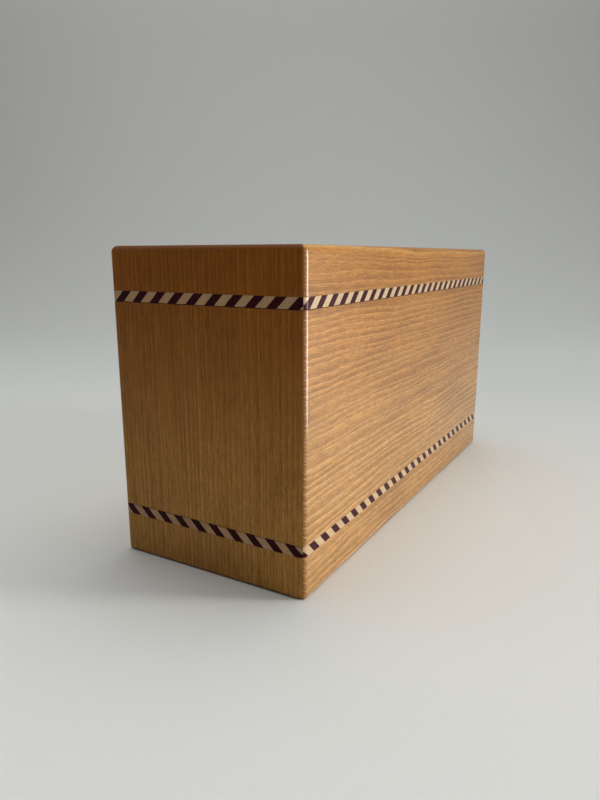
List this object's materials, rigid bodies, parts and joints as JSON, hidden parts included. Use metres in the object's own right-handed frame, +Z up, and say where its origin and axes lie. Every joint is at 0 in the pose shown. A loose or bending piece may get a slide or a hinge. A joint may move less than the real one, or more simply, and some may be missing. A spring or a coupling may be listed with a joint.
{
  "type": "wooden puzzle box",
  "caption": "Mitred rectangular wooden box with striped inlaid bands, a sliding lid, a hidden base drawer and pin locks.",
  "frame": {"origin": "on the floor under the middle of the box", "axes": "+X along the length, towards the end the lid slides over; +Y from the front face to the back; +Z up"},
  "size_m": [0.185, 0.069, 0.1],
  "materials": {
    "oak_board": "satin lacquer",
    "pale_plywood": "oiled",
    "purpleheart": "satin lacquer",
    "maple": "satin lacquer",
    "felt": "matte",
    "pin_steel": "turned",
    "brass": "turned",
    "magnet_nickel": "plated"
  },
  "bodies": {
    "case": {"case_front_wall": "oak_board", "case_back_wall": "oak_board", "case_left_wall": "oak_board", "case_right_wall": "oak_board", "case_floor": "pale_plywood", "base_panel": "pale_plywood", "case_mitre_splines": "pale_plywood", "case_band_purpleheart": "purpleheart", "case_band_maple": "maple", "case_magnets": "magnet_nickel", "pin_bushes": "brass", "drawer_stop_pegs": "maple", "compartment_felt": "felt"},
    "lid": {"lid_front_rail": "oak_board", "lid_back_rail": "oak_board", "lid_left_rail": "oak_board", "lid_right_rail": "oak_board", "lid_panel": "oak_board", "lid_mitre_splines": "pale_plywood", "lid_band_purpleheart": "purpleheart", "lid_band_maple": "maple", "lid_front_guide": "maple", "lid_back_guide": "maple", "guide_screws": "brass", "lid_magnets": "magnet_nickel"},
    "drawer": {"drawer_front": "oak_board", "drawer_band_purpleheart": "purpleheart", "drawer_band_maple": "maple", "drawer_near_side": "maple", "drawer_far_side": "maple", "drawer_back": "maple", "drawer_bottom": "pale_plywood", "drawer_felt": "felt", "drawer_magnets": "magnet_nickel"},
    "front_pin": {"front_lid_pin": "pin_steel"},
    "back_pin": {"back_lid_pin": "pin_steel"},
    "base_pin": {"drawer_pin": "pin_steel"}
  },
  "joints": [
    {"name": "lid_slide", "type": "slide", "parent": "case", "child": "lid", "axis": [1, 0, 0], "range_m": [0, 0.115]},
    {"name": "drawer_slide", "type": "slide", "parent": "case", "child": "drawer", "axis": [-1, 0, 0], "range_m": [0, 0.13]},
    {"name": "front_pin_slide", "type": "slide", "parent": "case", "child": "front_pin", "axis": [0, 1, 0], "range_m": [0, 0.0038]},
    {"name": "back_pin_slide", "type": "slide", "parent": "case", "child": "back_pin", "axis": [0, -1, 0], "range_m": [0, 0.0038]},
    {"name": "drawer_pin_slide", "type": "slide", "parent": "case", "child": "base_pin", "axis": [0, -1, 0], "range_m": [0, 0.0038]}
  ]
}
